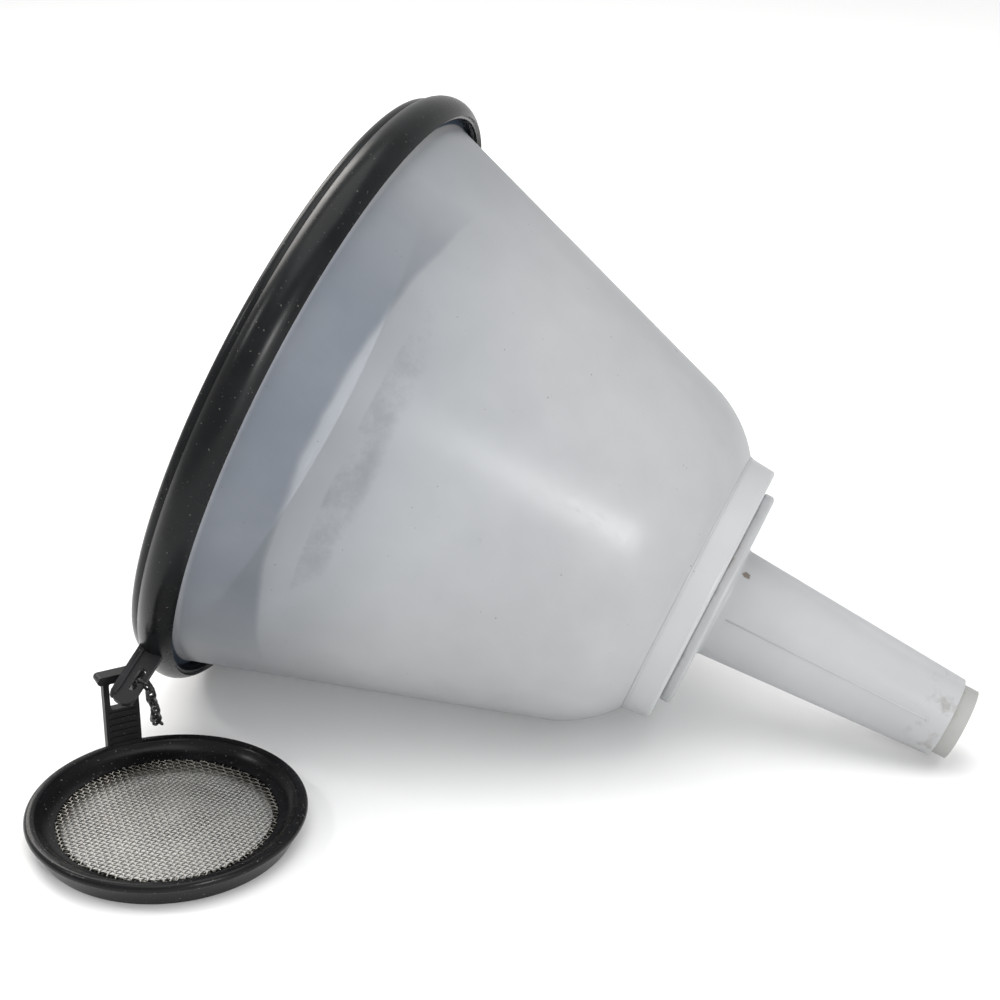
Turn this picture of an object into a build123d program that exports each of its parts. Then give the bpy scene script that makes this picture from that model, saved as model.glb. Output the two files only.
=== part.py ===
"""Fuel funnel with a clip-on rim ring, a two-piece spout and a strainer kept on a chain.

Frame: millimetres, +Z up, X along the funnel as it lies on its side (mouth at -X, outlet at +X).
The origin is the middle of the whole part's footprint, on the surface it lies on.
"""
from build123d import *
from math import asin, atan2, cos, degrees, hypot, radians, sin
import os

os.makedirs("parts", exist_ok=True)

# ---- driving dimensions (mm) -------------------------------------------------------------
RIM_R = 100.0            # outside of the rim ring
BEAD_R = 7.0             # round outer bead of the rim ring
BEAD_S = 1.0             # bead centre along the funnel axis, from the mouth plane
WALL = 2.2               # bell wall
CONE_R = 94.3            # outside of the cone at the mouth plane
CONE_SLOPE = 0.335       # radius lost per mm of depth
SHOULDER_S = 110.4       # where the cone starts to round into the shoulder
COLLAR_S = 130.0         # where the shoulder meets the collar
COLLAR_R = 42.8
COLLAR_END = 138.7
COLLAR_HOLE_R = 24.0
FLANGE_R = 35.2          # disc of the spout against the collar floor
FLANGE_T = 3.5
SPOUT_ROOT_R = 17.6
SPOUT_END = 217.6
SPOUT_END_R = 12.7
TUBE_R = 11.25           # outlet tube, outside
TUBE_BORE_R = 9.8
SEAT_R = 11.0            # the tube's neck, inside the sleeve
SEAT_GAP = 0.05          # between the tube and the sleeve, all round
TUBE_START = 193.0
TIP_S = 222.4            # end of the outlet tube

LUG_AZIMUTH = 53.0       # degrees round the rim from its lowest point
LUG_TIP = 117.0          # reach of the lug from the funnel axis
LUG_WIDTH = 7.4
LUG_T = 2.6
SLOT_AT = 108.5
SLOT_LENGTH = 7.4
SLOT_WIDTH = 2.2
SLOT_OFFSET = 1.2        # slot centre from the lug's centre line, away from the mouth

STRAINER_H = 8.0
MESH_R = 31.6
MESH_Z = 3.3             # underside of the mesh
MESH_T = 0.6
MESH_DOME_R = 19.0
MESH_DOME_H = 1.0
TAB_AZIMUTH = 135.7      # degrees round the strainer from +X
TAB_MID_R = 38.2
TAB_W = 10.5
TAB_T = 2.8
TAB_TOP = 32.5
TAB_BAR = 1.75           # side bars of the window
WINDOW_LOW = 20.8
WINDOW_HIGH = 29.6
RIB_COUNT = 6
RIB_PITCH = 2.1

WIRE_R = 0.45            # chain wire
LINK_R = 1.2             # centre line of a link's end bows
LINK_STRAIGHT = 2.0
SLOT_LINK_R = 2.1        # wide bow of the link through the lug's slot
SLOT_LINK_STRAIGHT = 3.4
TAB_LINK_R = 2.3         # wide bow of the link round the tab's window bar
TAB_LINK_STRAIGHT = 2.5
SLOT_LINK_DROP = 61.0    # degrees the slot link hangs down from the funnel axis direction
# bend of each chain link from the one before it, about its own plane's normal (degrees)
CHAIN_BENDS = [-22, 6, -6, -23, 30, 49, -43, -47, 25, 37, -8, -50]
TAB_LINK_BEND = 3.0

FOOTPRINT_X = -84.24     # mouth centre from the origin
FOOTPRINT_Y = 25.17

# ---- how the funnel lies ------------------------------------------------------------------
# It rests on the rim's bead and on the bell's shoulder, and the outlet stays just off the floor.
# The shoulder is an arc that leaves the cone smoothly and ends at the collar.
steepness = hypot(1, CONE_SLOPE)
chord = (COLLAR_S - SHOULDER_S, COLLAR_R - (CONE_R - CONE_SLOPE * SHOULDER_S))
shoulder_r = -hypot(*chord) ** 2 * steepness / (2 * (chord[0] * CONE_SLOPE + chord[1]))
shoulder_s = SHOULDER_S - shoulder_r * CONE_SLOPE / steepness
shoulder_y = CONE_R - CONE_SLOPE * SHOULDER_S - shoulder_r / steepness
bead_to_shoulder = (shoulder_s - BEAD_S, RIM_R - BEAD_R - shoulder_y)
LIE = degrees(atan2(bead_to_shoulder[1], bead_to_shoulder[0])
              + asin((BEAD_R - shoulder_r) / hypot(*bead_to_shoulder)))
along = Vector(cos(radians(LIE)), 0, -sin(radians(LIE)))      # mouth to outlet
mouth_height = BEAD_R + BEAD_S * sin(radians(LIE)) + (RIM_R - BEAD_R) * cos(radians(LIE))
mouth = Vector(FOOTPRINT_X, FOOTPRINT_Y, mouth_height)
profile = Plane(origin=mouth, x_dir=along, z_dir=(0, 1, 0))   # local x = depth, local y = radius
funnel_axis = Axis(mouth, along)


def cone_r(depth):
    """Outside radius of the bell's cone at a depth from the mouth plane."""
    return CONE_R - CONE_SLOPE * depth


def write(piece, name):
    """Label a finished piece and write it as its own STEP file."""
    piece.label = name
    export_step(piece, f"parts/{name}.step")


# ---- bell ---------------------------------------------------------------------------------
FLARE_S = 6.5            # where the mouth's flare has run out into the cone
LIP_R = 97.0
LIP_T = 1.4
FLOOR_S = COLLAR_END - 3.0

with BuildPart() as bell:
    with BuildSketch(profile):
        with BuildLine():
            Polyline((-LIP_T, cone_r(0) - WALL), (-LIP_T, LIP_R), (LIP_T, LIP_R), (LIP_T, cone_r(0) + 1.1))
            ThreePointArc((LIP_T, cone_r(0) + 1.1), (3.3, cone_r(3.3) + 0.35), (FLARE_S, cone_r(FLARE_S)))
            Line((FLARE_S, cone_r(FLARE_S)), (SHOULDER_S, cone_r(SHOULDER_S)))
            TangentArc((SHOULDER_S, cone_r(SHOULDER_S)), (COLLAR_S, COLLAR_R), tangent=(1, -CONE_SLOPE))
            Polyline((COLLAR_S, COLLAR_R), (COLLAR_END - 1.4, COLLAR_R - 0.6))
            ThreePointArc((COLLAR_END - 1.4, COLLAR_R - 0.6), (COLLAR_END - 0.4, COLLAR_R - 1.0),
                          (COLLAR_END, COLLAR_R - 2.0))
            Polyline((COLLAR_END, COLLAR_R - 2.0), (COLLAR_END, COLLAR_HOLE_R), (FLOOR_S, COLLAR_HOLE_R),
                     (FLOOR_S, COLLAR_R - WALL - 0.8), (COLLAR_S - 0.6, COLLAR_R - WALL - 0.3))
            TangentArc((SHOULDER_S - 0.8, cone_r(SHOULDER_S) - WALL), (COLLAR_S - 0.6, COLLAR_R - WALL - 0.3),
                       tangent=(1, -CONE_SLOPE))
            Line((SHOULDER_S - 0.8, cone_r(SHOULDER_S) - WALL), (-LIP_T, cone_r(0) - WALL))
        make_face()
    revolve(axis=funnel_axis)
write(bell.part, "funnel_bell")

# ---- rim ring: a soft C-section pressed over the bell's lip --------------------------------
with BuildPart() as rim_ring:
    with BuildSketch(profile):
        with BuildLine():
            ThreePointArc((6.9, 96.78), (BEAD_S, RIM_R), (-4.6, 97.2))
            Line((-4.6, 97.2), (-4.6, 96.5))
            ThreePointArc((-4.6, 96.5), (-8.1, 93.9), (-6.2, 91.0))
            Polyline((-6.2, 91.0), (-1.7, 91.0), (-1.7, 97.3), (1.7, 97.3), (1.7, 96.1), (3.4, 96.1),
                     (3.4, 95.4), (4.3, 95.4), (4.3, 96.0), (5.2, 96.0), (5.2, 95.6), (6.1, 95.6),
                     (6.1, 96.3), (6.9, 96.78))
        make_face()
    revolve(axis=funnel_axis)
write(rim_ring.part, "rim_ring")

# ---- lug on the rim, slotted for the chain --------------------------------------------------
radial = (profile.y_dir * cos(radians(LUG_AZIMUTH)) - Vector(0, 1, 0) * sin(radians(LUG_AZIMUTH))).normalized()
lug_plane = Plane(origin=mouth + along * BEAD_S, x_dir=radial, z_dir=radial.cross(along))
# local x runs out along the lug, local y towards the outlet, local z through its thickness
LUG_ROOT = RIM_R - 2.2
LUG_RIB = 2.0

with BuildPart() as rim_lug:
    with BuildSketch(lug_plane):
        with Locations(((LUG_ROOT + LUG_TIP) / 2, 0)):
            Rectangle(LUG_TIP - LUG_ROOT, LUG_WIDTH)
    extrude(amount=LUG_T / 2, both=True)
    fillet(rim_lug.edges().filter_by(Axis(lug_plane.origin, lug_plane.z_dir)).sort_by(
        Axis(lug_plane.origin, radial))[-2:], radius=3.2)
    with BuildSketch(lug_plane):
        with Locations(((LUG_ROOT + LUG_TIP - 2.4) / 2, -(LUG_WIDTH - LUG_RIB) / 2)):
            SlotOverall(LUG_TIP - LUG_ROOT - 2.4, LUG_RIB)
    extrude(amount=LUG_T / 2 + 0.9, both=True)
    with BuildSketch(lug_plane):
        with Locations((SLOT_AT, SLOT_OFFSET)):
            SlotOverall(SLOT_LENGTH, SLOT_WIDTH)
    extrude(amount=LUG_T, both=True, mode=Mode.SUBTRACT)
write(rim_lug.part, "rim_lug")

# ---- spout: disc and tapered sleeve, snapped through the collar floor ------------------------
NECK_R = COLLAR_HOLE_R - 0.2
SNAP_R = COLLAR_HOLE_R + 1.0
FLANGE_FACE = COLLAR_END
FLANGE_BACK = COLLAR_END + FLANGE_T
SEAL_R = 28.0            # centre line of the seal ring
SEAL_WIRE_R = 1.0
SEAT_S = 199.0           # where the outlet tube's straight seat starts in the sleeve
SLEEVE_WALL = 1.8

with BuildPart() as spout_sleeve:
    with BuildSketch(profile):
        with BuildLine():
            Polyline((FLOOR_S - 3.4, NECK_R - 2.0), (FLOOR_S - 3.4, NECK_R), (FLOOR_S - 2.6, SNAP_R),
                     (FLOOR_S - 0.2, SNAP_R), (FLOOR_S - 0.2, NECK_R), (FLANGE_FACE, NECK_R),
                     (FLANGE_FACE, SEAL_R - SEAL_WIRE_R), (FLANGE_FACE + 1.8, SEAL_R - SEAL_WIRE_R),
                     (FLANGE_FACE + 1.8, SEAL_R + SEAL_WIRE_R), (FLANGE_FACE, SEAL_R + SEAL_WIRE_R),
                     (FLANGE_FACE, FLANGE_R - 0.8))
            ThreePointArc((FLANGE_FACE, FLANGE_R - 0.8), (FLANGE_FACE + 0.25, FLANGE_R - 0.2),
                          (FLANGE_FACE + 0.8, FLANGE_R))
            Line((FLANGE_FACE + 0.8, FLANGE_R), (FLANGE_BACK - 1.2, FLANGE_R))
            ThreePointArc((FLANGE_BACK - 1.2, FLANGE_R), (FLANGE_BACK - 0.35, FLANGE_R - 0.35),
                          (FLANGE_BACK, FLANGE_R - 1.2))
            Line((FLANGE_BACK, FLANGE_R - 1.2), (FLANGE_BACK, SPOUT_ROOT_R + 1.2))
            ThreePointArc((FLANGE_BACK, SPOUT_ROOT_R + 1.2), (FLANGE_BACK + 0.35, SPOUT_ROOT_R + 0.3),
                          (FLANGE_BACK + 1.2, SPOUT_ROOT_R - 0.1))
            Line((FLANGE_BACK + 1.2, SPOUT_ROOT_R - 0.1), (SPOUT_END - 0.6, SPOUT_END_R))
            ThreePointArc((SPOUT_END - 0.6, SPOUT_END_R), (SPOUT_END - 0.15, SPOUT_END_R - 0.2),
                          (SPOUT_END, SPOUT_END_R - 0.6))
            Polyline((SPOUT_END, SPOUT_END_R - 0.6), (SPOUT_END, SEAT_R + SEAT_GAP), (SEAT_S, SEAT_R + SEAT_GAP),
                     (TUBE_START - 2, SEAT_R + 0.6), (FLANGE_BACK + 2, SPOUT_ROOT_R - SLEEVE_WALL),
                     (FLOOR_S - 3.4, NECK_R - 2.0))
        make_face()
    revolve(axis=funnel_axis)
write(spout_sleeve.part, "spout_sleeve")

with BuildPart() as spout_seal:
    with BuildSketch(profile):
        with Locations((FLANGE_FACE + 0.8, SEAL_R)):
            Circle(SEAL_WIRE_R - 0.2)
    revolve(axis=funnel_axis)
write(spout_seal.part, "spout_seal")

with BuildPart() as outlet_tube:
    with BuildSketch(profile):
        with BuildLine():
            Polyline((TUBE_START, TUBE_BORE_R), (TUBE_START, SEAT_R), (SPOUT_END + SEAT_GAP, SEAT_R),
                     (SPOUT_END + SEAT_GAP, TUBE_R), (TIP_S, TUBE_R), (TIP_S, TUBE_BORE_R),
                     (TUBE_START, TUBE_BORE_R))
        make_face()
    revolve(axis=funnel_axis)
write(outlet_tube.part, "outlet_tube")


# ---- chain -----------------------------------------------------------------------------------
def link(frame, near_r, far_r, straight):
    """Wire link: its near bow is centred on the frame's origin, its far bow further along local x."""
    lean = asin((near_r - far_r) / straight)
    near_x, near_y = near_r * sin(lean), near_r * cos(lean)
    far_x, far_y = straight + far_r * sin(lean), far_r * cos(lean)
    with BuildPart() as wire_link:
        with BuildLine(frame) as loop:
            Line((near_x, near_y), (far_x, far_y))
            ThreePointArc((far_x, far_y), (straight + far_r, 0), (far_x, -far_y))
            Line((far_x, -far_y), (near_x, -near_y))
            ThreePointArc((near_x, -near_y), (-near_r, 0), (near_x, near_y))
        with BuildSketch(Plane(origin=loop.line @ 0, z_dir=loop.line % 0)):
            Circle(WIRE_R)
        sweep()
    return wire_link.part


def next_frame(frame, reach, bend):
    """Frame of the link that hangs in the far bow of the link in this frame."""
    pivot = frame.origin + frame.x_dir * reach
    hinge = frame.z_dir.cross(frame.x_dir)
    return Plane(origin=pivot, x_dir=frame.x_dir.rotate(Axis((0, 0, 0), hinge), bend), z_dir=hinge)


slot_bar = lug_plane.from_local_coords((SLOT_AT, SLOT_OFFSET + (LUG_WIDTH / 2 - SLOT_OFFSET + SLOT_WIDTH / 2) / 2))
slot_link_dir = along.rotate(Axis((0, 0, 0), radial), -SLOT_LINK_DROP)
frames = [Plane(origin=slot_bar, x_dir=slot_link_dir, z_dir=radial)]
write(link(frames[0], SLOT_LINK_R, LINK_R, SLOT_LINK_STRAIGHT), "slot_link")

reach = LINK_R + SLOT_LINK_STRAIGHT
for number, bend in enumerate(CHAIN_BENDS, 1):
    frames.append(next_frame(frames[-1], reach, bend))
    write(link(frames[-1], LINK_R, LINK_R, LINK_STRAIGHT), f"chain_link_{number:02d}")
    reach = LINK_R + LINK_STRAIGHT

frames.append(next_frame(frames[-1], reach, TAB_LINK_BEND))
write(link(frames[-1], LINK_R, TAB_LINK_R, TAB_LINK_STRAIGHT), "tab_link")

# ---- strainer: moulded ring, upright tab and woven mesh --------------------------------------
# The tab's side bar stands in the free bow of the tab link, which places the whole strainer.
tab_bar = frames[-1].origin + frames[-1].x_dir * TAB_LINK_STRAIGHT
outward = Vector(cos(radians(TAB_AZIMUTH)), sin(radians(TAB_AZIMUTH)), 0)
sideways = Vector(outward.Y, -outward.X, 0)
tab_foot = Vector(tab_bar.X, tab_bar.Y, 0) - sideways * (TAB_W - TAB_BAR) / 2
strainer_centre = tab_foot - outward * TAB_MID_R
strainer_profile = Plane(origin=strainer_centre, x_dir=(1, 0, 0), z_dir=(0, -1, 0))   # x = radius, y = up
strainer_axis = Axis(strainer_centre, (0, 0, 1))
LEDGE_R = MESH_R - 1.8

with BuildPart() as strainer_ring:
    with BuildSketch(strainer_profile):
        with BuildLine():
            Polyline((34.6, 0), (36.4, 0), (39.6, 5.6))
            ThreePointArc((39.6, 5.6), (39.9, 7.2), (38.4, STRAINER_H))
            ThreePointArc((38.4, STRAINER_H), (37.3, 7.8), (36.4, 6.9))
            ThreePointArc((36.4, 6.9), (34.6, 5.2), (MESH_R, MESH_Z + MESH_T))
            Polyline((MESH_R, MESH_Z + MESH_T), (MESH_R, MESH_Z), (LEDGE_R, MESH_Z), (LEDGE_R, MESH_Z - 1.3),
                     (33.2, MESH_Z - 1.3), (34.6, 0))
        make_face()
    revolve(axis=strainer_axis)
write(strainer_ring.part, "strainer_ring")

with BuildPart() as strainer_mesh:
    with BuildSketch(strainer_profile):
        with BuildLine():
            Polyline((0, MESH_Z), (0, MESH_Z + MESH_T + MESH_DOME_H))
            Polyline((0, MESH_Z + MESH_T + MESH_DOME_H), (MESH_DOME_R - 2.0, MESH_Z + MESH_T + MESH_DOME_H * 0.7),
                     (MESH_DOME_R, MESH_Z + MESH_T), (MESH_R, MESH_Z + MESH_T), (MESH_R, MESH_Z), (0, MESH_Z))
        make_face()
    revolve(axis=strainer_axis)
write(strainer_mesh.part, "strainer_mesh")

tab_plane = Plane(origin=tab_foot, x_dir=sideways, z_dir=-outward)     # local y up, local z inwards
HEAD_T = 2.6
HEAD_OVERHANG = 1.8
TAB_FOOT_Z = 6.4

with BuildPart() as strainer_tab:
    with BuildSketch(tab_plane):
        with Locations((0, (TAB_FOOT_Z + TAB_TOP) / 2)):
            Rectangle(TAB_W, TAB_TOP - TAB_FOOT_Z)
        with Locations((0, (WINDOW_LOW + WINDOW_HIGH) / 2)):
            RectangleRounded(TAB_W - 2 * TAB_BAR, WINDOW_HIGH - WINDOW_LOW, 0.8, mode=Mode.SUBTRACT)
    extrude(amount=TAB_T / 2, both=True)
    with BuildSketch(tab_plane):
        with Locations((0, TAB_TOP - HEAD_T / 2)):
            RectangleRounded(TAB_W + 2 * HEAD_OVERHANG, HEAD_T, 1.2)
    extrude(amount=TAB_T / 2 + 0.7, both=True)
    with BuildSketch(tab_plane.offset(TAB_T / 2)):
        for rib in range(RIB_COUNT):
            with Locations((0, WINDOW_LOW - 1.2 - rib * RIB_PITCH)):
                Rectangle(TAB_W - 2.4, 0.7)
    extrude(amount=0.6)
write(strainer_tab.part, "strainer_tab")
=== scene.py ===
# %% [markdown]
# # A fuel funnel with a strainer on a chain
# The funnel lies on its side. It has a milky bell with a black rim ring, a tapered spout,
# and a little wire strainer in a black ring, kept on a short chain so that it is not lost.
# The CAD model gives every size. This lesson gives the parts their finishes, weaves the
# strainer's wire cloth, adds the marks that moulding and use leave, and lights the lot.

from math import cos, pi, radians, sin

import bpy
from mathutils import Matrix, Vector


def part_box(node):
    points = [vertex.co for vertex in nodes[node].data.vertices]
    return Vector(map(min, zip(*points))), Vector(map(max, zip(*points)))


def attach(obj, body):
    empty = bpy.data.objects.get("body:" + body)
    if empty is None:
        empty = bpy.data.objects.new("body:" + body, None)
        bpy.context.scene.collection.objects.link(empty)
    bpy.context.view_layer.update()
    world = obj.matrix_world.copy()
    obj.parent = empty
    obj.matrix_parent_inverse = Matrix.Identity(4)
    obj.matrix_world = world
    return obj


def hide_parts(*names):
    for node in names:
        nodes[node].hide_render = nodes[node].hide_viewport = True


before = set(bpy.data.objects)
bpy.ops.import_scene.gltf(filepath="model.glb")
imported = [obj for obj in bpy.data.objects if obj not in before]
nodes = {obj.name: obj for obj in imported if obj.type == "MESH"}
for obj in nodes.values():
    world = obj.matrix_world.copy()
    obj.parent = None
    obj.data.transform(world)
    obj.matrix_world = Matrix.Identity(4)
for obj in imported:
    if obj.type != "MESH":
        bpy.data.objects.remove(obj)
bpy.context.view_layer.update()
MM = 0.001
print("loaded", len(nodes), "parts")

# %% [markdown]
# ## The camera
# The camera stands low in front of the strainer, a little to the right, and looks down at
# the funnel by about 25 degrees. A long lens keeps the round bell from looking stretched.
# The camera is set before anything else, because every later choice is judged through it.

# %% Camera
EYE = Vector((0.1562, -0.5315, 0.3305))
LOOK = Vector((-0.2832, 0.8668, -0.4104))
ROLL = radians(0.3)
lens = bpy.data.cameras.new("studio_camera")
lens.lens = 74.55
lens.sensor_width = 36.0
lens.shift_x = 0.0068
lens.shift_y = -0.0065
lens.clip_start = 0.01
camera = bpy.data.objects.new("studio_camera", lens)
camera.location = EYE
camera.rotation_euler = LOOK.to_track_quat("-Z", "Y").to_euler()
camera.rotation_euler.rotate_axis("Z", ROLL)
bpy.context.scene.collection.objects.link(camera)
bpy.context.scene.camera = camera
print("camera at", tuple(round(c, 4) for c in EYE))

# %% [markdown]
# ## Light and floor
# Pale plastic shows its shape by soft shading, so the room itself is bright and even, and
# a wide sky lamp overhead carries on from it. A small key lamp on the right makes the long
# gentle highlight on the bell. The back lamp shines into the mouth, and the thin wall
# glows where that light falls on its inner face. A strip lamp on the left puts a thin line
# of light on the black rim, and a low fill lamp opens the shade under the collar and spout.
# The floor is plain and nearly white.

# %% Room light
world = bpy.data.worlds.new("studio")
bpy.context.scene.world = world
world.use_nodes = True
world.node_tree.nodes["Background"].inputs["Color"].default_value = (1.0, 1.0, 1.0, 1.0)
world.node_tree.nodes["Background"].inputs["Strength"].default_value = 0.72
bpy.context.scene.view_settings.view_transform = "Standard"
print("room light on")


# %% Soft lamps
def soft_lamp(name, place, target, size, power, colour=(1.0, 1.0, 1.0)):
    """A square area lamp at a place, turned towards a target."""
    lamp = bpy.data.lights.new(name, "AREA")
    lamp.shape = "SQUARE"
    lamp.size = size
    lamp.energy = power
    lamp.color = colour
    body = bpy.data.objects.new(name, lamp)
    body.location = place
    body.rotation_euler = (Vector(target) - Vector(place)).to_track_quat("-Z", "Y").to_euler()
    bpy.context.scene.collection.objects.link(body)
    return body


soft_lamp("sky_lamp", (0.1, -0.1, 1.5), (0.0, 0.0, 0.0), 1.4, 14.0)
soft_lamp("key_lamp", (0.90, -0.80, 0.40), (0.02, 0.0, 0.08), 0.22, 6.0)
soft_lamp("back_lamp", (-0.75, 0.45, 0.65), (0.0, 0.0, 0.08), 0.5, 5.0, (1.0, 0.97, 0.93))
soft_lamp("strip_lamp", (-0.75, -0.35, 0.75), (-0.1, 0.0, 0.1), 0.12, 1.2)
soft_lamp("fill_lamp", (0.75, -0.55, 0.06), (0.1, 0.0, 0.03), 0.6, 2.0)
print("five soft lamps")

# %% Floor
bpy.ops.object.select_all(action="DESELECT")
bpy.ops.mesh.primitive_plane_add(size=6.0, location=(0.0, 0.0, -0.0002))
floor = bpy.context.object
floor.name = "studio_floor"
floor_paint = bpy.data.materials.new("floor_paint")
floor_paint.use_nodes = True
floor_shader = floor_paint.node_tree.nodes["Principled BSDF"]
floor_shader.inputs["Base Color"].default_value = (0.92, 0.92, 0.92, 1.0)
floor_shader.inputs["Roughness"].default_value = 0.9
floor.data.materials.append(floor_paint)
print("floor", floor.name)


# %% [markdown]
# ## Helpers for finishes
# Every finish below is a small network of nodes. A few short helpers make the nodes that
# come back again and again: a noise in the part's own coordinates, a colour ramp, a mix
# and a bump. The coordinates are metres, so a noise scale of 1000 has features about 1 mm wide.

# %% Node helpers
def finish(name, colour, roughness):
    """A new material: its nodes, its links, its shader and the part's own coordinates."""
    material = bpy.data.materials.new(name)
    material.use_nodes = True
    tree = material.node_tree
    shader = tree.nodes["Principled BSDF"]
    shader.inputs["Base Color"].default_value = (*colour, 1.0)
    shader.inputs["Roughness"].default_value = roughness
    place = tree.nodes.new("ShaderNodeTexCoord")
    return material, tree, shader, place.outputs["Object"]


def noise(tree, where, scale, detail=3.0, roughness=0.5, stretch=None, turn=None):
    """A noise value; stretch squeezes the pattern along each axis, turn rotates it first."""
    texture = tree.nodes.new("ShaderNodeTexNoise")
    texture.inputs["Scale"].default_value = scale
    texture.inputs["Detail"].default_value = detail
    texture.inputs["Roughness"].default_value = roughness
    if stretch or turn:
        mapping = tree.nodes.new("ShaderNodeMapping")
        mapping.inputs["Scale"].default_value = stretch or (1.0, 1.0, 1.0)
        mapping.inputs["Rotation"].default_value = turn or (0.0, 0.0, 0.0)
        tree.links.new(where, mapping.inputs["Vector"])
        where = mapping.outputs["Vector"]
    tree.links.new(where, texture.inputs["Vector"])
    return texture.outputs["Fac"]


def ramp(tree, value, stops):
    """A colour ramp through the given (position, grey or colour) stops."""
    node = tree.nodes.new("ShaderNodeValToRGB")
    band = node.color_ramp
    while len(band.elements) < len(stops):
        band.elements.new(0.5)
    for element, (position, colour) in zip(band.elements, stops):
        element.position = position
        grey = isinstance(colour, (int, float))
        element.color = (colour, colour, colour, 1.0) if grey else (*colour, 1.0)
    tree.links.new(value, node.inputs["Fac"])
    return node.outputs["Color"]


def maths(tree, kind, a, b, clamp=False):
    """One arithmetic node on two values, each a socket or a number."""
    node = tree.nodes.new("ShaderNodeMath")
    node.operation = kind
    node.use_clamp = clamp
    for socket, value in zip(node.inputs, (a, b)):
        if isinstance(value, (int, float)):
            socket.default_value = value
        else:
            tree.links.new(value, socket)
    return node.outputs["Value"]


def mix(tree, share, a, b, kind="MIX"):
    """Mix two colours, each a socket or a tuple, by a share from 0 to 1."""
    node = tree.nodes.new("ShaderNodeMix")
    node.data_type = "RGBA"
    node.blend_type = kind
    for socket, value in ((node.inputs[0], share), (node.inputs[6], a), (node.inputs[7], b)):
        if isinstance(value, tuple):
            socket.default_value = (*value, 1.0)
        elif isinstance(value, (int, float)):
            socket.default_value = value
        else:
            tree.links.new(value, socket)
    return node.outputs[2]


def bump(tree, shader, layers):
    """Chain (height, strength, distance) layers of bump into the shader's normal."""
    normal = None
    for height, strength, distance in layers:
        node = tree.nodes.new("ShaderNodeBump")
        node.inputs["Strength"].default_value = strength
        node.inputs["Distance"].default_value = distance
        tree.links.new(height, node.inputs["Height"])
        if normal:
            tree.links.new(normal, node.inputs["Normal"])
        normal = node.outputs["Normal"]
    tree.links.new(normal, shader.inputs["Normal"])


def paint(material, *names):
    """Give CAD parts a finish; their shape stays as it is."""
    for name in names:
        part = nodes[name]
        part.data.materials.clear()
        part.data.materials.append(material)


print("helpers ready")

# %% [markdown]
# ## Depth along the funnel
# Several finishes change along the funnel's own axis, from the mouth to the outlet. The
# funnel lies tilted, so its axis is not one of the scene's. A dot product with the axis
# direction turns a point into its depth, in metres from the mouth plane.

# %% Funnel axis
TILT = radians(21.53)
MOUTH = Vector((-0.08424, 0.02517, 0.09388))
ALONG = Vector((cos(TILT), 0.0, -sin(TILT)))
SIDE = Vector((0.0, 1.0, 0.0))
UP = SIDE.cross(-ALONG)


def depth(tree, where):
    """Depth from the mouth plane in metres, as a value."""
    dot = tree.nodes.new("ShaderNodeVectorMath")
    dot.operation = "DOT_PRODUCT"
    dot.inputs[1].default_value = ALONG
    tree.links.new(where, dot.inputs[0])
    return maths(tree, "SUBTRACT", dot.outputs["Value"], MOUTH.dot(ALONG))


def on_axis(s, r=0.0, turn=0.0):
    """A point at depth s and radius r, turned from the top towards the far side, in metres."""
    return MOUTH + ALONG * s + (UP * cos(turn) + SIDE * sin(turn)) * r


print("axis from", tuple(round(c, 3) for c in MOUTH), "tilted 21.5 degrees")

# %% [markdown]
# ## Milky polyethylene
# The bell is moulded in natural polyethylene. It lets light through but scatters it, so it
# is neither glass nor paint. The shader mixes three: an ordinary satin plastic, a
# translucent one, which passes light to the other side of the wall, and a share of plain
# see-through, which is largest on the side that faces the front. Fine scratches, cloudy
# patches and faint flow lines keep it from looking like new. The darker bluish zone near
# the rim and the darker band beyond it are painted shade, masks placed by depth and side:
# they stand in for the dark room seen through the mouth, the rim ring's shadow and the far
# rim seen through the wall.

# %% Bell plastic
FRONT = UP * cos(radians(70.0)) - SIDE * sin(radians(70.0))


def step(tree, value, start, end, low=0.0, high=1.0):
    """A smooth step of a value, from low at its start to high at its end."""
    node = tree.nodes.new("ShaderNodeMapRange")
    node.interpolation_type = "SMOOTHSTEP"
    for name, number in (("From Min", start), ("From Max", end), ("To Min", low), ("To Max", high)):
        node.inputs[name].default_value = number
    tree.links.new(value, node.inputs["Value"])
    return node.outputs["Result"]


def along_front(tree, where):
    """How far a point lies towards the front of the lying funnel, in metres from its axis."""
    dot = tree.nodes.new("ShaderNodeVectorMath")
    dot.operation = "DOT_PRODUCT"
    dot.inputs[1].default_value = FRONT
    tree.links.new(where, dot.inputs[0])
    return maths(tree, "SUBTRACT", dot.outputs["Value"], MOUTH.dot(FRONT))


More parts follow.
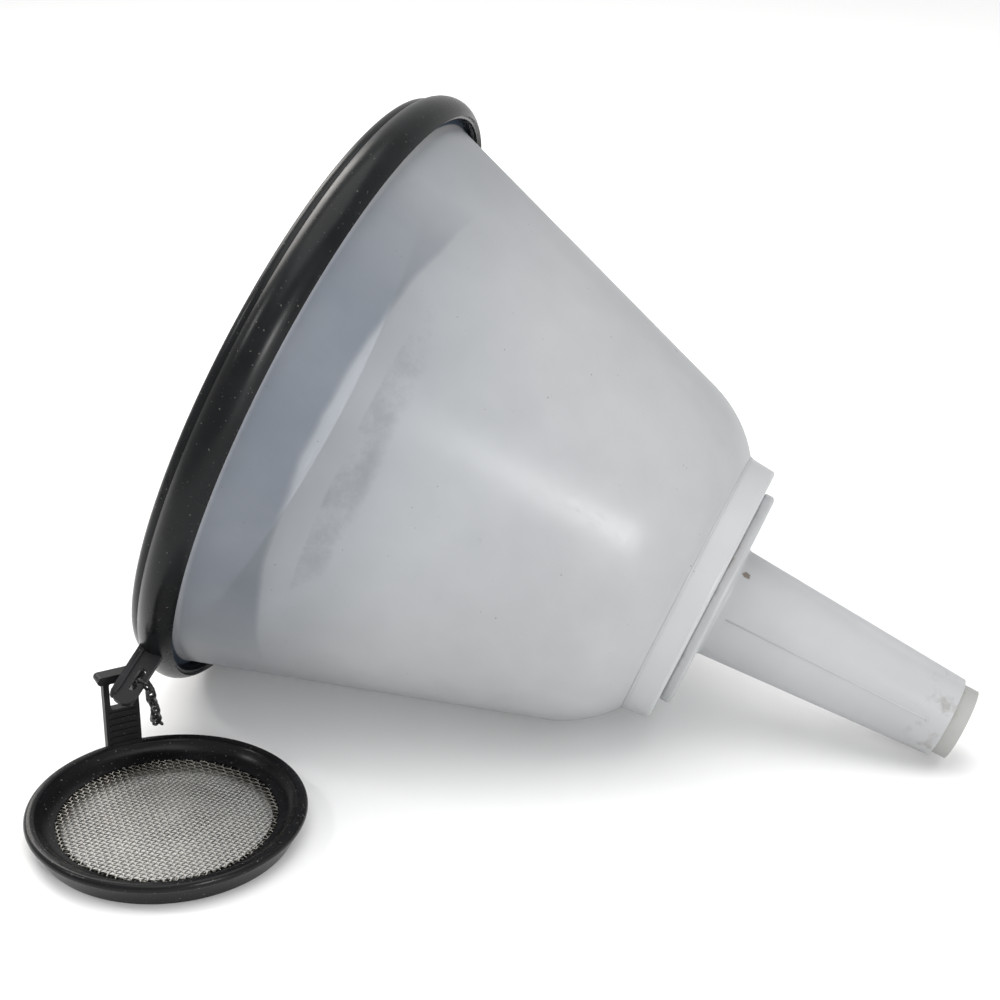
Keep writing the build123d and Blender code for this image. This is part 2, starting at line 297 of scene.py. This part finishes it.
def milky(name, colour, through, glow_share, clear_share, roughness):
    """Satin plastic that glows and is a little clear, with scratches, haze and flow lines."""
    material, tree, shader, where = finish(name, colour, roughness)
    haze = noise(tree, where, 22.0, 4.0, 0.55)
    cloud = noise(tree, where, 90.0, 5.0, 0.6)
    tone = mix(tree, step(tree, haze, 0.3, 0.7), tuple(c * 0.94 for c in colour), colour)
    tone = mix(tree, maths(tree, "MULTIPLY", cloud, 0.10), tone, (0.95, 0.95, 0.95))
    scratch = noise(tree, where, 260.0, 2.0, 0.6, (1.0, 14.0, 1.0), (0.2, 0.5, 0.9))
    fine = step(tree, scratch, 0.62, 0.68)
    rough = maths(tree, "ADD", maths(tree, "MULTIPLY", cloud, 0.12), roughness - 0.06)
    rough = maths(tree, "ADD", rough, maths(tree, "MULTIPLY", fine, 0.1))
    tree.links.new(rough, shader.inputs["Roughness"])
    shader.inputs["IOR"].default_value = 1.5
    wave = noise(tree, where, 35.0, 2.0, 0.5)
    bump(tree, shader, [(wave, 0.2, 0.0006), (cloud, 0.12, 0.0003), (fine, 0.15, 0.00006)])
    glow = tree.nodes.new("ShaderNodeBsdfTranslucent")
    clear = tree.nodes.new("ShaderNodeBsdfTransparent")
    clear.inputs["Color"].default_value = (0.90, 0.94, 1.0, 1.0)
    surface = shader.outputs["BSDF"]
    for share, other in ((glow_share, glow), (clear_share, clear)):
        blend = tree.nodes.new("ShaderNodeMixShader")
        blend.inputs["Fac"].default_value = share
        tree.links.new(surface, blend.inputs[1])
        tree.links.new(other.outputs["BSDF"], blend.inputs[2])
        surface = blend.outputs["Shader"]
    tree.links.new(surface, tree.nodes["Material Output"].inputs["Surface"])
    tree.links.new(tone, shader.inputs["Base Color"])
    tree.links.new(mix(tree, 1.0, tone, through, "MULTIPLY"), glow.inputs["Color"])
    return material, tree, shader, glow, clear, where, tone


bell_plastic, tree, shader, glow, clear, where, tone = milky(
    "bell_milky_plastic", (0.495, 0.505, 0.515), (1.0, 1.0, 1.0), 0.4, 0.36, 0.30)
RIM_COVERS_TO = 0.0043
LIP_FROM = 0.0055
SHADE_SLOPE = 0.17
BAND_SLOPE = 0.314
# Painted shade: a dark bluish tone laid near the rim, standing in for the dark room seen through the mouth.
PAINTED_SHADE_TONE = (0.10, 0.125, 0.165)
LIP_TONE = (0.50, 0.50, 0.51)
COLLAR_TONE = (0.60, 0.61, 0.62)
FLECK_TONE = (0.16, 0.13, 0.10)
deep = depth(tree, where)
front = along_front(tree, where)
mottle = noise(tree, where, 120.0, 5.0, 0.7)
wobble = maths(tree, "MULTIPLY", maths(tree, "SUBTRACT", noise(tree, where, 45.0, 3.0), 0.5), 0.003)
edge = maths(tree, "ADD", maths(tree, "ADD", deep, maths(tree, "MULTIPLY", front, SHADE_SLOPE)), wobble)
# Painted shade on the front near the rim, where the wall looks through the mouth at the dark room.
painted_front_shade = maths(tree, "MULTIPLY", step(tree, edge, 0.0368, 0.0405, 0.66, 0.0), step(tree, front, 0.015, 0.082))
painted_front_shade = maths(tree, "MULTIPLY", painted_front_shade, step(tree, noise(tree, where, 30.0, 4.0, 0.6), 0.25, 0.75, 0.88, 1.0))
# A painted darker band beyond it, standing in for the far rim seen through the wall.
outer = maths(tree, "ADD", maths(tree, "SUBTRACT", deep, maths(tree, "MULTIPLY", front, BAND_SLOPE)),
              maths(tree, "MULTIPLY", wobble, 2.0))
painted_far_rim_band = maths(tree, "MULTIPLY", step(tree, deep, 0.0315, 0.0335),
               step(tree, outer, 0.0145, 0.0215, 1.0, 0.0))
painted_far_rim_band = maths(tree, "MULTIPLY", painted_far_rim_band, step(tree, front, 0.05, 0.08))
painted_far_rim_band = maths(tree, "MULTIPLY", painted_far_rim_band, step(tree, mottle, 0.3, 0.72, 0.36, 0.14))
# Painted shade all round near the rim for the rim ring's shadow, and full painted shade under the ring.
painted_rim_shade = step(tree, deep, 0.0, 0.070, 0.36, 0.0)
painted_shade_under_rim = step(tree, deep, RIM_COVERS_TO, 0.0048, 1.0, 0.0)
lip = maths(tree, "SUBTRACT", step(tree, deep, LIP_FROM, 0.0070, 1.0, 0.0), painted_shade_under_rim, True)
# All the painted shade masks together.
painted_shade = maths(tree, "MAXIMUM", maths(tree, "MAXIMUM", painted_front_shade, painted_far_rim_band),
               maths(tree, "MAXIMUM", painted_rim_shade, painted_shade_under_rim))
bell_tone_with_painted_shade = mix(tree, painted_shade, tone, PAINTED_SHADE_TONE)
bell_tone_with_painted_shade = mix(tree, lip, bell_tone_with_painted_shade, LIP_TONE)
bell_tone_with_painted_shade = mix(tree, step(tree, deep, 0.128, 0.132), bell_tone_with_painted_shade, COLLAR_TONE)
clear_blend = clear.outputs["BSDF"].links[0].to_node
fleck = step(tree, noise(tree, where, 720.0, 1.0, 0.4), 0.795, 0.82, 0.0, 0.6)
bell_tone_with_painted_shade = mix(tree, fleck, bell_tone_with_painted_shade, FLECK_TONE)
tree.links.new(bell_tone_with_painted_shade, shader.inputs["Base Color"])
tree.links.new(bell_tone_with_painted_shade, glow.inputs["Color"])
# The see-through share is tinted dark under the painted shade as well.
tree.links.new(mix(tree, painted_shade, (0.90, 0.93, 0.97), (0.22, 0.26, 0.33)), clear.inputs["Color"])
tree.links.new(step(tree, front, 0.045, 0.086, 0.05, 0.36), clear_blend.inputs["Fac"])
paint(bell_plastic, "funnel_bell")
print("bell painted")

# %% Spout plastic
def dirt(tree, shader, glow, tone, masks, colour):
    """Lay the masks over a tone as dirt of one colour."""
    for mask in masks:
        tone = mix(tree, mask, tone, colour)
    tree.links.new(tone, shader.inputs["Base Color"])
    tree.links.new(tone, glow.inputs["Color"])


spout_plastic, tree, shader, glow, clear, where, tone = milky(
    "spout_milky_plastic", (0.585, 0.59, 0.595), (1.0, 1.0, 1.0), 0.4, 0.15, 0.36)
deep = depth(tree, where)
grime = noise(tree, where, 160.0, 5.0, 0.65)
joint = maths(tree, "MULTIPLY", step(tree, deep, 0.1390, 0.1404, 1.0, 0.0),
              step(tree, grime, 0.46, 0.66, 0.0, 0.35))
end_stain = maths(tree, "MULTIPLY", step(tree, deep, 0.203, 0.214), step(tree, grime, 0.52, 0.70, 0.0, 0.35))
smear = tree.nodes.new("ShaderNodeVectorMath")
smear.operation = "DISTANCE"
smear.inputs[1].default_value = on_axis(0.1450, 0.0174, radians(-25.0))
tree.links.new(where, smear.inputs[0])
spot = maths(tree, "ADD", smear.outputs["Value"], maths(tree, "MULTIPLY", noise(tree, where, 500.0), 0.0022))
smear_mask = step(tree, spot, 0.0019, 0.0024, 0.85, 0.0)
dirt(tree, shader, glow, tone, [joint, end_stain, smear_mask], (0.16, 0.11, 0.06))
paint(spout_plastic, "spout_sleeve")
outlet_plastic, tree, shader, glow, clear, where, tone = milky(
    "outlet_aged_plastic", (0.45, 0.45, 0.43), (1.0, 0.98, 0.92), 0.35, 0.12, 0.4)
grime = noise(tree, where, 130.0, 5.0, 0.65)
dirt(tree, shader, glow, tone, [step(tree, grime, 0.50, 0.72, 0.0, 0.55)], (0.26, 0.22, 0.15))
paint(outlet_plastic, "outlet_tube")
print("spout and outlet painted")

# %% [markdown]
# ## Black rubber and black plastic
# Black parts show almost nothing but their reflections, so their roughness carries the
# look. The rim ring is a soft extrusion: semi-gloss, with dust specks and dull rubbed
# patches. The strainer's ring and tab are moulded, a little harder and glossier.

# %% Black finishes
def black(name, colour, roughness, grain, speck):
    """Black moulded finish with rubbed patches, fine grain and sparse pale dust specks."""
    material, tree, shader, where = finish(name, colour, roughness)
    rub = noise(tree, where, 45.0, 4.0, 0.6)
    fine = noise(tree, where, 1400.0, 3.0, 0.6)
    dust = noise(tree, where, 1300.0, 1.0, 0.4)
    dots = ramp(tree, dust, [(speck, 0.0), (speck + 0.04, 1.0)])
    rubbed = tuple(c * 1.7 + 0.002 for c in colour)
    tone = mix(tree, ramp(tree, rub, [(0.35, 0.0), (0.75, 1.0)]), colour, rubbed)
    tone = mix(tree, maths(tree, "MULTIPLY", dots, 0.5), tone, (0.16, 0.155, 0.14))
    shader.inputs["Specular IOR Level"].default_value = 0.16
    tree.links.new(tone, shader.inputs["Base Color"])
    rough = maths(tree, "ADD", maths(tree, "MULTIPLY", rub, 0.25), roughness - 0.12)
    rough = maths(tree, "ADD", rough, maths(tree, "MULTIPLY", dots, 0.3), True)
    tree.links.new(rough, shader.inputs["Roughness"])
    bump(tree, shader, [(rub, 0.08, 0.0004), (fine, grain, 0.00004), (dots, 0.2, 0.00006)])
    return material


rim_rubber = black("rim_black_rubber", (0.004, 0.0045, 0.005), 0.27, 0.25, 0.74)
paint(rim_rubber, "rim_ring")
lug_rubber = black("lug_black_plastic", (0.010, 0.010, 0.011), 0.36, 0.5, 0.73)
paint(lug_rubber, "rim_lug")
ring_plastic = black("strainer_black_plastic", (0.004, 0.004, 0.0045), 0.24, 0.3, 0.72)
paint(ring_plastic, "strainer_ring")
tab_plastic = black("tab_black_plastic", (0.009, 0.009, 0.0095), 0.42, 0.6, 0.73)
paint(tab_plastic, "strainer_tab")
seal_rubber = black("seal_brown_rubber", (0.20, 0.17, 0.14), 0.6, 0.6, 0.7)
paint(seal_rubber, "spout_seal")
print("black parts painted")

# %% [markdown]
# ## The chain
# The links are bent from thin plated wire that has gone dark. The metal is dull where the
# plating is intact and a little brighter where the links rub on each other.

# %% Chain metal
chain_metal, tree, shader, where = finish("chain_dark_wire", (0.09, 0.09, 0.095), 0.42)
shader.inputs["Metallic"].default_value = 0.85
tarnish = noise(tree, where, 600.0, 4.0, 0.6)
tree.links.new(
    ramp(tree, tarnish, [(0.35, (0.03, 0.03, 0.032)), (0.6, (0.10, 0.10, 0.105)), (0.75, (0.22, 0.21, 0.2))]),
    shader.inputs["Base Color"],
)
tree.links.new(maths(tree, "ADD", maths(tree, "MULTIPLY", tarnish, 0.3), 0.25), shader.inputs["Roughness"])
bump(tree, shader, [(noise(tree, where, 2200.0), 0.3, 0.00003)])
links = [name for name in nodes if "link" in name]
paint(chain_metal, *links)
print("chain of", len(links), "links painted")

# %% [markdown]
# ## Woven wire cloth
# The strainer is a disc cut from plain-woven steel wire. Each wire goes over one crossing
# wire and under the next, so the cloth glitters in a checked pattern that no bump map can
# give up close. One short wave of wire is modelled by extruding a small ring of points,
# and array modifiers repeat it: first along a wire, then to the wires beside it. The
# crossing set is the same piece turned by a quarter and flipped over. The square cloth is
# then trimmed to a disc by deleting what lies outside, which leaves a ragged edge of cut
# wire ends, as shears do, and a displace modifier presses the shallow dome into it.

# %% Cloth sizes
PITCH = 1.4 * MM
WIRE_R = 0.19 * MM
RISE = 0.175 * MM
STEPS = 4
low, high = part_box("strainer_mesh")
CENTRE = (low + high) / 2
CLOTH_R = (high.x - low.x) / 2
WEAVE_Z = low.z + 0.36 * MM
WEAVE_TURN = radians(-8.0)
WIRES = 2 * int(CLOTH_R / PITCH / 2 + 1)
print("cloth radius", round(CLOTH_R * 1000, 1), "mm,", 2 * WIRES, "wires each way")


# %% Select helper
def edit(obj, test=None, kind="VERT"):
    """Open one object in edit mode with only what passes the test selected."""
    bpy.ops.object.select_all(action="DESELECT")
    bpy.context.view_layer.objects.active = obj
    obj.select_set(True)
    bpy.ops.object.mode_set(mode="EDIT")
    bpy.ops.mesh.select_mode(type=kind)
    bpy.ops.mesh.select_all(action="DESELECT")
    bpy.ops.object.mode_set(mode="OBJECT")
    for item in {"VERT": obj.data.vertices, "FACE": obj.data.polygons}[kind]:
        item.select = bool(test and test(item))
    bpy.ops.object.mode_set(mode="EDIT")


def apply(obj, kind, name="step", **settings):
    """Add a modifier with these settings and apply it at once."""
    bpy.context.view_layer.objects.active = obj
    modifier = obj.modifiers.new(name, kind)
    for key, value in settings.items():
        setattr(modifier, key, value)
    bpy.ops.object.modifier_apply(modifier=name)


print("edit helpers ready")


# %% One set of wires
def wire_set(name):
    """Parallel woven wires over the whole cloth, centred on the origin, running along X."""
    bpy.ops.object.select_all(action="DESELECT")
    bpy.ops.mesh.primitive_circle_add(vertices=5, radius=WIRE_R, location=(0, 0, RISE),
                                      rotation=(0, pi / 2, 0))
    wire = bpy.context.object
    wire.name = name
    bpy.ops.object.transform_apply(location=True, rotation=True, scale=True)
    edit(wire, lambda v: True)
    for slice_no in range(1, 2 * STEPS + 1):
        drop = RISE * (cos(pi * slice_no / STEPS) - cos(pi * (slice_no - 1) / STEPS))
        bpy.ops.mesh.extrude_region_move(TRANSFORM_OT_translate={"value": (PITCH / STEPS, 0.0, drop)})
    bpy.ops.object.mode_set(mode="OBJECT")
    apply(wire, "ARRAY", count=WIRES, use_relative_offset=False, use_constant_offset=True,
          constant_offset_displace=(2 * PITCH, 0, 0), use_merge_vertices=True, merge_threshold=WIRE_R * 0.2)
    bpy.ops.object.select_all(action="DESELECT")
    wire.select_set(True)
    edit(wire, lambda v: True)
    bpy.ops.mesh.duplicate_move(TRANSFORM_OT_translate={"value": (PITCH, PITCH, 0.0)})
    bpy.ops.object.mode_set(mode="OBJECT")
    apply(wire, "ARRAY", count=WIRES, use_relative_offset=False, use_constant_offset=True,
          constant_offset_displace=(0, 2 * PITCH, 0))
    wire.data.transform(Matrix.Translation((-WIRES * PITCH, -(WIRES - 0.5) * PITCH, 0)))
    return wire


warp = wire_set("strainer_warp_wires")
print("warp", len(warp.data.polygons), "faces")

# %% Trim and dome
DOME_R = 19.0 * MM
DOME_RISE = 1.0 * MM


def dome(radius):
    """How far the cloth is pressed up at a radius, as a share of the dome's height."""
    flat = min(radius / DOME_R, 1.0)
    return (1.0 - flat ** 3.0) * (0.78 + 0.22 * (1.0 - flat))


def trim_and_press(wires):
    """Cut the wires to the disc, then press the dome with a displace modifier."""
    edit(wires, lambda f: f.center.xy.length > CLOTH_R - 0.25 * MM, "FACE")
    bpy.ops.mesh.delete(type="FACE")
    bpy.ops.object.mode_set(mode="OBJECT")
    press = wires.vertex_groups.new(name="press")
    for vertex in wires.data.vertices:
        press.add([vertex.index], dome(vertex.co.xy.length), "REPLACE")
    apply(wires, "DISPLACE", direction="Z", strength=DOME_RISE, mid_level=0.0, vertex_group="press")
    wires.vertex_groups.clear()
    wires.data.polygons.foreach_set("use_smooth", [True] * len(wires.data.polygons))


weft = warp.copy()
weft.data = warp.data.copy()
weft.name = "strainer_weft_wires"
bpy.context.scene.collection.objects.link(weft)
weft.data.transform(Matrix.Scale(-1.0, 4, (0, 0, 1)))
weft.data.flip_normals()
weft.data.transform(Matrix.Rotation(pi / 2, 4, "Z"))
for wires in (warp, weft):
    if wires is weft:
        wires.data.transform(Matrix.Translation((PITCH / 2, PITCH / 2, 0)))
    trim_and_press(wires)
    wires.data.transform(Matrix.Rotation(WEAVE_TURN, 4, "Z"))
    wires.data.transform(Matrix.Translation((CENTRE.x, CENTRE.y, WEAVE_Z)))
    print(wires.name, len(wires.data.polygons), "faces")

# %% Cloth metal
cloth_metal, tree, shader, where = finish("cloth_steel_wire", (0.5, 0.48, 0.45), 0.3)
shader.inputs["Metallic"].default_value = 1.0
stain = noise(tree, where, 60.0, 2.0, 0.5)
tree.links.new(
    ramp(tree, stain, [(0.3, (0.20, 0.19, 0.17)), (0.5, (0.27, 0.26, 0.235)), (0.75, (0.36, 0.35, 0.32))]),
    shader.inputs["Base Color"],
)
tree.links.new(maths(tree, "ADD", maths(tree, "MULTIPLY", stain, 0.2), 0.2), shader.inputs["Roughness"])
bump(tree, shader, [(noise(tree, where, 4000.0), 0.2, 0.00002)])
for wires in (warp, weft):
    wires.data.materials.clear()
    wires.data.materials.append(cloth_metal)
    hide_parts("strainer_mesh")
    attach(wires, "strainer")
print("cloth in place")

# %% [markdown]
# ## Small moulded details
# A moulding tells how it was made. The spout's two mould halves leave a hair-thin parting
# line along it that ends in a tiny pip. The step where the bell's shoulder meets its
# collar has a fine bead round it, and the rim's lug has a thick rounded edge on the mouth
# side. The two straight ones start as cylinders, shaped by extruding and scaling an end
# face and bevelling the other; the round one is a small ring of points spun about the axis.

# %% Straight beads
def bead(name, start, end, across, wide, thick, end_steps):
    """A rounded bar from start to end; end_steps are (length, scale) pairs that shape its far end."""
    length = (end - start).length
    bpy.ops.object.select_all(action="DESELECT")
    bpy.ops.mesh.primitive_cylinder_add(vertices=16, radius=1.0, depth=length, location=(0, 0, length / 2))
    bar = bpy.context.object
    bar.name = name
    bpy.ops.object.transform_apply(location=True, rotation=True, scale=True)
    edit(bar, lambda v: True)
    bpy.ops.transform.resize(value=(wide, thick, 1.0))
    bpy.ops.object.mode_set(mode="OBJECT")
    edit(bar, lambda f: f.normal.z > 0.9, "FACE")
    for reach, scale in end_steps:
        bpy.ops.mesh.extrude_region_move(TRANSFORM_OT_translate={"value": (0, 0, reach)})
        bpy.ops.transform.resize(value=(scale, scale, 1.0))
    bpy.ops.object.mode_set(mode="OBJECT")
    edit(bar, lambda f: f.normal.z < -0.9, "FACE")
    bpy.ops.mesh.extrude_region_move(TRANSFORM_OT_translate={"value": (0, 0, -thick * 0.5)})
    bpy.ops.transform.resize(value=(0.6, 0.6, 1.0))
    bpy.ops.object.mode_set(mode="OBJECT")
    out = (end - start).normalized()
    side = across.normalized()
    turn = Matrix((side, out.cross(side), out)).transposed().to_4x4()
    bar.data.transform(Matrix.Translation(start) @ turn)
    bpy.ops.object.select_all(action="DESELECT")
    bar.select_set(True)
    bpy.ops.object.shade_smooth_by_angle(angle=radians(50.0))
    return bar


PARTING = radians(-76.0)
parting_line = bead("spout_parting_line",
                    on_axis(0.1455, 0.01735, PARTING), on_axis(0.2110, 0.01308, PARTING),
                    ALONG.cross(on_axis(0.15, 0.01, PARTING) - on_axis(0.15)), 0.26 * MM, 0.17 * MM,
                    [(0.1 * MM, 2.4), (0.5 * MM, 1.1), (0.2 * MM, 0.5)])
parting_line.data.materials.append(spout_plastic)
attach(parting_line, "funnel")
LUG_TURN = radians(233.0)
lug_edge = bead("rim_lug_rounded_edge",
                on_axis(-0.0017, 0.0992, LUG_TURN), on_axis(-0.0017, 0.1146, LUG_TURN),
                ALONG, 1.35 * MM, 2.3 * MM, [(0.9 * MM, 0.86), (0.7 * MM, 0.7), (0.35 * MM, 0.5)])
lug_edge.data.materials.append(lug_rubber)
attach(lug_edge, "funnel")
print("beads", parting_line.name, lug_edge.name)

# %% Bead round the collar
COLLAR_S = 0.1301
COLLAR_R = 0.0428
bpy.ops.object.select_all(action="DESELECT")
bpy.ops.mesh.primitive_circle_add(vertices=8, radius=0.3 * MM, location=(0, 0, 0))
collar_bead = bpy.context.object
collar_bead.name = "collar_bead"
edit(collar_bead, lambda v: True)
bpy.ops.transform.resize(value=(1.0, 1.6, 1.0))
bpy.ops.mesh.spin(steps=144, angle=2 * pi, center=(-COLLAR_R, 0, 0), axis=(0, 1, 0))
bpy.ops.mesh.select_all(action="SELECT")
bpy.ops.mesh.remove_doubles(threshold=0.00002)
bpy.ops.mesh.normals_make_consistent(inside=False)
bpy.ops.object.mode_set(mode="OBJECT")
axes = Matrix((UP, ALONG, UP.cross(ALONG))).transposed().to_4x4()
collar_bead.data.transform(Matrix.Translation(on_axis(COLLAR_S)) @ axes @ Matrix.Translation((COLLAR_R, 0, 0)))
collar_bead.data.polygons.foreach_set("use_smooth", [True] * len(collar_bead.data.polygons))
collar_bead.data.materials.append(bell_plastic)
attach(collar_bead, "funnel")
print("collar bead", len(collar_bead.data.polygons), "faces")
